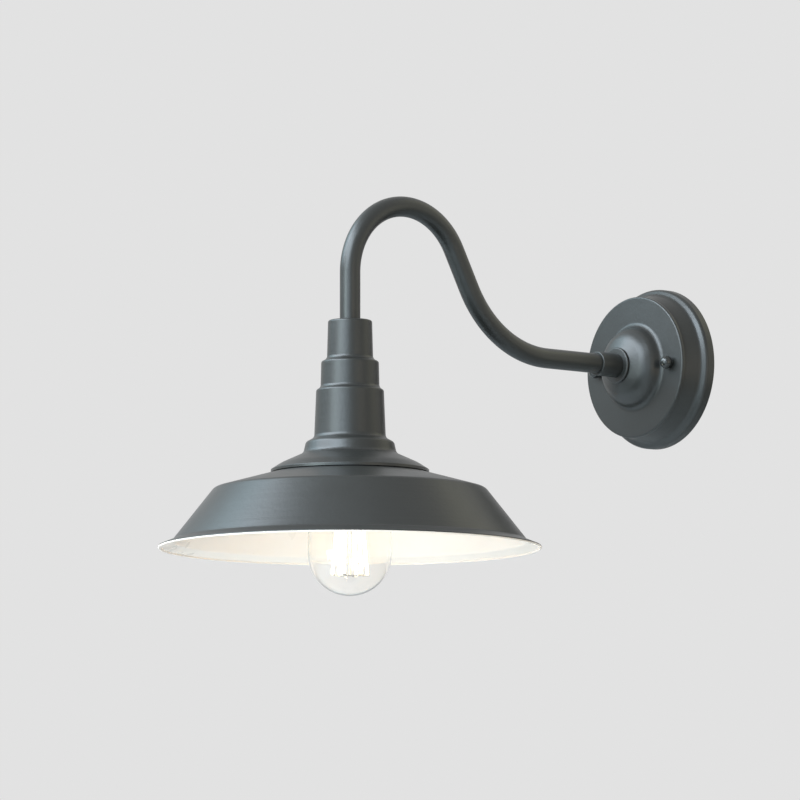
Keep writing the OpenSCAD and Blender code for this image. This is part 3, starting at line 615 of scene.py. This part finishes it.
# %% [markdown]
# The shade is one spun shell too, painted outside and enamelled inside. The wall's
# modifier puts the second material on the inner skin, and a small bead is spun round
# the lip and joined on, as the rolled rim of the real shade. The enamel runs on over the
# inner and lower side of the bead, which gives the rim its thin white line.

# %% Shade
LIP_R = 129.1
BEAD_R = 0.9
RIM_TURNS = 256
shade = spin_outline("shade_shell", [
    (19.8, 57.2, 0), (32, 57.2, 6), (92.4, 40.8, 5), (120.3, 5.4, 3.5), (LIP_R, 2 * BEAD_R, 0)],
    [paint_head, enamel], wall=1, turns=RIM_TURNS)
bead = spin_outline("rim_bead", arc(LIP_R, BEAD_R, BEAD_R, 0, 360, 16),
                    [paint_head, enamel], turns=RIM_TURNS)
for poly in bead.data.polygons:
    inward = Vector((poly.center.x, poly.center.y)).length < LIP_R * MM
    poly.material_index = 1 if inward or poly.center.z < BEAD_R * MM else 0
only(shade)
bead.select_set(True)
bpy.ops.object.join()
stands_for(on_head(shade, 0), "shade")

# %% [markdown]
# Inside, the glass bulb is a neck that swells into a globe. The outline follows the
# real one: straight in the cap, a soft waist, a cheek and a full round end.

# %% Bulb glass
GLOBE_R = 28.5
NECK_R = 11.7
BULB_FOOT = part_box("bulb_glass")[0].z / MM - RIM_Z
CAP_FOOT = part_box("bulb_cap")[0].z / MM - RIM_Z
bulb_outline = [
    (NECK_R, CAP_FOOT + 13, 0), (NECK_R, CAP_FOOT - 4, 12), (GLOBE_R, CAP_FOOT - 29, 24)]
bulb_outline += arc(0, BULB_FOOT + GLOBE_R, GLOBE_R, 0, -90, 28)[1:]
globe = spin_outline("bulb_envelope", bulb_outline, [glass, glass], wall=0.8, segments=16,
                     turns=128)
stands_for(on_head(globe, 0, 60), "bulb_glass", "bulb")

# %% [markdown]
# The bulb's cap is thin metal with a round thread rolled into it. The core is a spun
# sheet, and the thread is a small circle swept up a helix by the Screw modifier, with
# its two ends closed. Rings one above another would be quicker, but a thread climbs.

# %% Bulb cap
CAP_H = 24
CORE_R = 12.3
THREAD_PITCH = 3.6
THREAD_TURNS = 4
THREAD_R = 1.1
THREAD_CENTRE_R = 11.88
THREAD_START = 4.6
cap = spin_outline("bulb_cap_core", [
    (CORE_R, 0, 0), (CORE_R, CAP_H - 2, 0.8), (9.5, CAP_H, 0)], [cap_metal, cap_metal],
    wall=0.5, turns=96)
nothing_selected()
bpy.ops.mesh.primitive_circle_add(vertices=16, radius=THREAD_R * MM, fill_type="NGON",
                                  rotation=(math.pi / 2, 0, 0))
thread = bpy.context.object
thread.name = "bulb_cap_thread"
thread.data.materials.append(cap_metal)
settle(thread)
bpy.ops.object.mode_set(mode="EDIT")
bpy.ops.mesh.select_all(action="SELECT")
bpy.ops.transform.translate(value=(THREAD_CENTRE_R * MM, 0, THREAD_START * MM))
bpy.ops.mesh.delete(type="ONLY_FACE")
bpy.ops.object.mode_set(mode="OBJECT")
climb = thread.modifiers.new("climb", "SCREW")
climb.angle = 2 * math.pi
climb.screw_offset = THREAD_PITCH * MM
climb.iterations = THREAD_TURNS
climb.steps = climb.render_steps = 72
apply_modifiers(thread)
bpy.ops.object.mode_set(mode="EDIT")
bpy.ops.mesh.select_all(action="DESELECT")
bpy.ops.mesh.select_non_manifold()
bpy.ops.mesh.edge_face_add()
bpy.ops.mesh.select_all(action="SELECT")
bpy.ops.mesh.normals_make_consistent(inside=False)
bpy.ops.object.mode_set(mode="OBJECT")
only(cap)
thread.select_set(True)
bpy.ops.object.join()
stands_for(on_head(cap, CAP_FOOT, 50), "bulb_cap", "bulb")

# %% [markdown]
# Under the cap's end sits a black glass disc, which keeps the round contact apart from
# it. Inside the neck a glass stem closes the bulb and holds the wires. All three are
# turned shapes, so each is one closed outline.

# %% Insulator, contact and stem
CAP_TOP = CAP_FOOT + CAP_H
DISC_H = 2
STEM_R = 3
STEM_TIP = CAP_FOOT - 22.5
disc = spin_outline("cap_insulator_disc", [
    (0, 0, 0), (9.3, 0, 0.3), (5.75, DISC_H, 0.5), (0, DISC_H, 0)], [black_glass], turns=96)
stands_for(on_head(disc, CAP_TOP), "bulb_insulator", "bulb")
tip = spin_outline("cap_contact_tip", [
    (0, 0, 0), (4.7, 0, 0), (4.7, 1.5, 0.75), (0, 1.5, 0)], [cap_metal], turns=64)
stands_for(on_head(tip, CAP_TOP + DISC_H), "bulb_contact", "bulb")
stem = spin_outline("bulb_stem_glass", [
    (0, STEM_TIP, 0), (STEM_R, STEM_TIP, 1.4), (STEM_R, CAP_FOOT, 5), (10.7, CAP_FOOT + 11, 0),
    (10.7, CAP_FOOT + 12, 0), (0, CAP_FOOT + 12, 0)], [glass], turns=64)
stands_for(on_head(stem, 0), "bulb_stem", "bulb")

# %% [markdown]
# The lampholder is a glazed porcelain cup. Its outside is one outline with a skirt, a
# collar that rests on the shade and a body, and the same outline runs on inside the
# bore. Two holes for the terminal screws are cut afterwards with a Boolean modifier;
# the cutting rods are joined first, so that one cut does it.

# %% Lampholder body
HOLDER_MOUTH = 45
HOLDER_H = 47
TERMINAL_X = 11.2
TERMINAL_HOLE_R = 1.8
TERMINAL_DEPTH = 7


def cut_away(obj, cutters):
    only(cutters[0])
    for cutter in cutters[1:]:
        cutter.select_set(True)
    bpy.ops.object.join()
    cut = obj.modifiers.new("cut", "BOOLEAN")
    cut.operation = "DIFFERENCE"
    cut.solver = "EXACT"
    cut.object = cutters[0]
    apply_modifiers(obj)
    only(cutters[0])
    bpy.ops.object.delete()


def cutting_rod(radius, length, x, y, z, sides=24):
    nothing_selected()
    bpy.ops.mesh.primitive_cylinder_add(vertices=sides, radius=radius * MM, depth=length * MM,
                                        location=(x * MM, y * MM, z * MM))
    bpy.ops.object.transform_apply(location=True, rotation=True, scale=True)
    return bpy.context.object


cup = spin_outline("lampholder_cup", [
    (0, 36.3, 0), (1.65, 36.3, 0), (1.65, 29.3, 0), (9.5, 29.3, 0), (9.5, 26.2, 0.5),
    (14, 26.2, 0), (14, 0, 0.6), (19.5, 0, 0.8), (19.5, 12.2, 0), (22.5, 12.2, 0.7),
    (22.5, 15.2, 0.9), (18.5, 15.2, 0.6), (18.5, HOLDER_H, 1), (0, HOLDER_H, 0)],
    [porcelain], turns=96)
rod_l = 16
cut_away(cup, [cutting_rod(TERMINAL_HOLE_R, rod_l, side * TERMINAL_X, 0,
                           HOLDER_H - TERMINAL_DEPTH + rod_l / 2) for side in (-1, 1)])
stands_for(on_head(cup, HOLDER_MOUTH), "lampholder_body")

# %% [markdown]
# The clamp ring screws up the skirt against the shade. It is a turned ring with a thin
# collar, and sixteen short grooves round the collar give the fingers a grip.

# %% Clamp ring
RING_FOOT = 48.2
RING_BORE_R = 19.55
COLLAR_R = 22.5
GROOVES = 16
GROOVE_R = 0.8
GROOVE_L = 4
grip = spin_outline("clamp_ring_turned", [
    (RING_BORE_R, 0, 0), (COLLAR_R, 0, 0.7), (COLLAR_R, 5, 0.6), (27, 5, 1), (27, 8, 0),
    (RING_BORE_R, 8, 0), (RING_BORE_R, 0, 0)], [porcelain], turns=128)
turns_round = [2 * math.pi * i / GROOVES for i in range(GROOVES)]
cut_away(grip, [cutting_rod(GROOVE_R, 2 * GROOVE_L, COLLAR_R * math.cos(turn),
                            COLLAR_R * math.sin(turn), 0, 16) for turn in turns_round])
stands_for(on_head(grip, RING_FOOT), "clamp_ring")

# %% [markdown]
# The smaller inner pieces keep their CAD meshes, which have the right shape. Each one
# gets its own finish.

# %% Finishes of the other pieces
kept = {
    "zinc": (zinc, ["wall_bracket", "stud_screws", "stud_lock_nuts", "wall_nipple",
                    "wall_lock_washer", "wall_lock_nut", "tube_plugs", "head_nipple",
                    "neck_lock_washer", "neck_lock_nut", "lampholder_cap"]),
    "brass": (brass, ["earth_lug", "terminal_screws", "screw_shell", "centre_contact"]),
    "frame metal": (frame_metal, ["filament_frame"]),
    "black cover": (black_cover, ["live_wire"]),
    "white cover": (white_cover, ["neutral_wire"]),
    "green cover": (green_cover, ["earth_wire"]),
    "twist caps": (twist_cap, ["wire_connectors"]),
    "green screw": (green_screw, ["ground_screw"]),
    "glow": (glow, ["filaments"]),
}
for label, (mat, names) in kept.items():
    for name in names:
        nodes[name].data.materials.clear()
        nodes[name].data.materials.append(mat)
    print(label + ":", ", ".join(names))

# %% [markdown]
# The stage begins with a pale floor well below the lamp. It glows a little to the
# camera alone, so it stays pale where no panel reaches it. It fades into the backdrop
# far out, and it is clear from below, so that the inside of the shade can be looked at.

# %% Floor
FLOOR_LEVEL = -0.8
FLOOR_SIZE = 6
FLOOR_GLOW = 0.45
FLOOR_DIM = 0.25
FADE_START = 1.3
FADE_END = 2.9
nothing_selected()
bpy.ops.mesh.primitive_grid_add(x_subdivisions=4, y_subdivisions=4, size=FLOOR_SIZE,
                                location=(0, 0, FLOOR_LEVEL))
floor = bpy.context.object
floor.name = "floor"
settle(floor)
floor_mat, tree, shader = new_finish("pale_floor", Metallic=0.0)
tree.links.new(use_group(tree, patches, Size=3.0, Low=0.7, High=0.8), shader.inputs["Roughness"])
shader.inputs["Emission Color"].default_value = (1, 1, 1, 1)
rays = tree.nodes.new("ShaderNodeLightPath")
dim = tree.nodes.new("ShaderNodeMix")
dim.data_type = "RGBA"
dim.blend_type = "MULTIPLY"
dim.inputs["B"].default_value = (FLOOR_DIM, FLOOR_DIM, FLOOR_DIM, 1)
tree.links.new(rays.outputs["Is Camera Ray"], dim.inputs["Factor"])
tree.links.new(two_tones(tree, use_group(tree, patches, Size=2.0, Low=0.0, High=1.0),
                         (0.70, 0.70, 0.70), (0.74, 0.74, 0.74)), dim.inputs["A"])
tree.links.new(dim.outputs["Result"], shader.inputs["Base Color"])
tree.links.new(spread(tree, rays.outputs["Is Camera Ray"], 0.0, 1.0, 0.0, FLOOR_GLOW),
               shader.inputs["Emission Strength"])
face_side = tree.nodes.new("ShaderNodeNewGeometry")
away = tree.nodes.new("ShaderNodeVectorMath")
away.operation = "LENGTH"
tree.links.new(tree.nodes.new("ShaderNodeTexCoord").outputs["Object"], away.inputs[0])
clear = sums(tree, "MAXIMUM", face_side.outputs["Backfacing"],
             spread(tree, away.outputs["Value"], FADE_START, FADE_END, 0.0, 1.0))
clear = sums(tree, "MULTIPLY", clear, rays.outputs["Is Camera Ray"])
tree.links.new(sums(tree, "SUBTRACT", 1.0, clear), shader.inputs["Alpha"])
floor.data.materials.append(floor_mat)
print("floor:", FLOOR_SIZE, "m wide, at", FLOOR_LEVEL, "m")

# %% [markdown]
# The backdrop is a plain light grey world. Camera, glossy and transmission rays see its
# grey; only diffuse light gets the dimmer strength that fills the shadows.

# %% Backdrop
BACKDROP = 0.761
FILL = 0.12
world = bpy.data.worlds.new("studio")
scene.world = world
world.use_nodes = True
tree = world.node_tree
sky = tree.nodes["Background"]
sky.inputs["Color"].default_value = (1, 1, 1, 1)
rays = tree.nodes.new("ShaderNodeLightPath")
seen = sums(tree, "MAXIMUM", rays.outputs["Is Camera Ray"],
            sums(tree, "MAXIMUM", rays.outputs["Is Glossy Ray"],
                 rays.outputs["Is Transmission Ray"]))
tree.links.new(spread(tree, seen, 0.0, 1.0, FILL, BACKDROP), sky.inputs["Strength"])
print("backdrop:", BACKDROP, "fill:", FILL)

# %% [markdown]
# The lamp is nearly black, so its shape is drawn by what it reflects. Cool panels on
# the left, high and low, light the shade's side and the cones and draw the line down
# the neck. Faint warm ones on the right part the dark side from the backdrop. No panel
# is seen through glass, or the bulb would turn white from some sides.

# %% Lights
AIM_Z = -0.08
head_centre = Vector((0, -REACH * MM, AIM_Z))


def soft_panel(name, across, nearer, higher, width, height, power, tint):
    data = bpy.data.lights.new(name, "AREA")
    data.shape = "RECTANGLE"
    data.size, data.size_y = width, height
    data.energy = power
    data.color = tint
    panel = bpy.data.objects.new(name, data)
    panel.location = head_centre + right * across + back * nearer + Vector((0, 0, higher))
    panel.rotation_euler = (head_centre - panel.location).to_track_quat("-Z", "Y").to_euler()
    panel.visible_transmission = False
    scene.collection.objects.link(panel)


soft_panel("left_panel", -1.4, 0.2, 1.3, 1.2, 1.2, 43, (0.81, 0.905, 1.0))
soft_panel("left_front_panel", -0.9, 1.2, 1.3, 1.2, 1.2, 49, (0.76, 0.89, 1.0))
soft_panel("left_back_panel", -1.5, -0.6, 1.1, 1.2, 1.2, 13, (0.55, 0.86, 1.0))
soft_panel("low_panel", -1.5, 1.2, 0.1, 1.0, 1.2, 28, (0.78, 0.97, 1.0))
soft_panel("camera_panel", -0.5, 1.9, 0.25, 0.9, 1.2, 9, (0.65, 0.86, 1.0))
soft_panel("right_front_panel", 1.2, 1.6, 0.2, 1.0, 1.2, 4, (1.0, 0.85, 0.6))
soft_panel("right_back_panel", 1.5, -0.6, 1.1, 1.2, 1.2, 3, (1.0, 0.98, 0.6))
soft_panel("right_panel", 1.9, 0.2, 0.2, 1.0, 1.4, 2.2, (1.0, 0.98, 0.65))
print("lights: 8")
